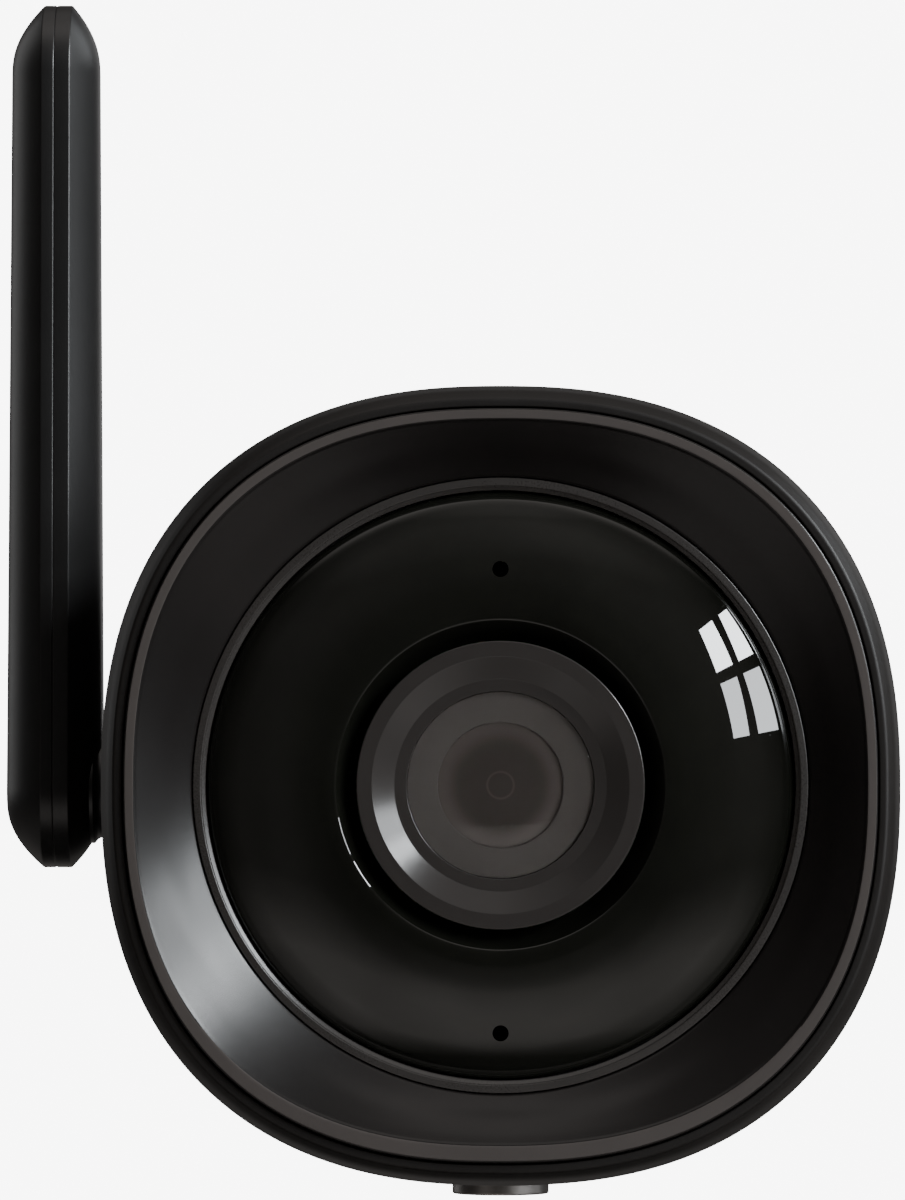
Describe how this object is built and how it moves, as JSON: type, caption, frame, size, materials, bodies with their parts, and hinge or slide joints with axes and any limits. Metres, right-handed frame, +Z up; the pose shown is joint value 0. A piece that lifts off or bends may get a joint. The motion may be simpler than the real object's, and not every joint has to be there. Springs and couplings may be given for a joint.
{
  "type": "security camera",
  "caption": "Wireless security camera: rounded-square black bullet housing, hooded round front with a glossy domed cover round the lens, a swinging paddle antenna and a threaded socket below.",
  "frame": {"origin": "centre of the lower face of the threaded mount insert under the housing, where a stand holds the camera", "axes": "+Z up; the lens looks along -Y; +X is to the right of someone who faces the front of the camera"},
  "size_m": [0.089, 0.11, 0.1217],
  "materials": {
    "housing_plastic": "satin black moulded plastic",
    "bezel_plastic": "satin black moulded plastic, a little warmer",
    "cover_plastic": "mirror-gloss black infrared-passing plastic",
    "lens_plastic": "satin black plastic",
    "glass": "coated optical glass",
    "rubber": "soft black rubber",
    "circuit_board": "green solder mask on glass laminate",
    "component": "moulded black component body",
    "white_plastic": "off-white plastic",
    "led_resin": "tinted clear resin",
    "steel": "plated steel",
    "brass": "turned brass",
    "aluminium": "machined aluminium",
    "copper": "enamelled copper winding"
  },
  "bodies": {
    "camera": {"board_standoff_1": "brass", "board_standoff_2": "brass", "board_standoff_3": "brass", "board_standoff_4": "brass", "card_socket": "steel", "coax_lead": "component", "cover_ring": "bezel_plastic", "filter_housing": "component", "filter_motor": "copper", "focus_lock_ring": "brass", "front_bezel": "bezel_plastic", "front_cover": "cover_plastic", "front_gasket": "rubber", "front_lens": "glass", "heat_spreader": "aluminium", "hinge_pin": "steel", "image_sensor": "component", "inner_frame": "aluminium", "ir_led_1": "led_resin", "ir_led_2": "led_resin", "ir_led_3": "led_resin", "ir_led_4": "led_resin", "ir_led_board": "circuit_board", "lens_barrel": "lens_plastic", "lens_bezel": "lens_plastic", "lens_holder": "lens_plastic", "lens_window": "glass", "light_sensor": "component", "main_board": "circuit_board", "main_housing": "housing_plastic", "mic_boot": "rubber", "microphone": "component", "mount_insert": "aluminium", "power_socket": "component", "processor": "component", "rear_cap": "housing_plastic", "rear_gasket": "rubber", "rear_lens": "glass", "rear_screw_1": "steel", "rear_screw_2": "steel", "rear_screw_3": "steel", "rear_screw_4": "steel", "reset_switch": "component", "ribbon_cable": "white_plastic", "sensor_board": "circuit_board", "speaker": "component", "wifi_module": "steel"},
    "antenna": {"antenna_inner_shell": "housing_plastic", "antenna_outer_shell": "housing_plastic", "antenna_element": "circuit_board", "pivot_shaft": "steel", "pivot_oring": "rubber", "pivot_clip": "steel"},
    "card_door": {"card_cover": "housing_plastic", "card_seal": "rubber"},
    "card": {"memory_card": "component"},
    "button": {"reset_button": "white_plastic"},
    "filter_slide": {"filter_carrier": "component", "ir_cut_filter": "glass", "clear_filter": "glass"}
  },
  "joints": [
    {"name": "antenna_swing", "type": "hinge", "parent": "camera", "child": "antenna", "pos_m": [-0.046, 0.022, 0.0405], "axis": [-1, 0, 0], "range_deg": [0, 180]},
    {"name": "card_door_hinge", "type": "hinge", "parent": "camera", "child": "card_door", "pos_m": [0, 0.032, 0.00545], "axis": [1, 0, 0], "range_deg": [0, 110]},
    {"name": "card_eject", "type": "slide", "parent": "camera", "child": "card", "axis": [0, 0, -1], "range_m": [-0.0008, 0.0035]},
    {"name": "reset_press", "type": "slide", "parent": "camera", "child": "button", "axis": [0, 0, 1], "range_m": [0, 0.0005], "stiffness_N_per_m": 800},
    {"name": "filter_shift", "type": "slide", "parent": "camera", "child": "filter_slide", "axis": [-1, 0, 0], "range_m": [0, 0.0065]}
  ]
}
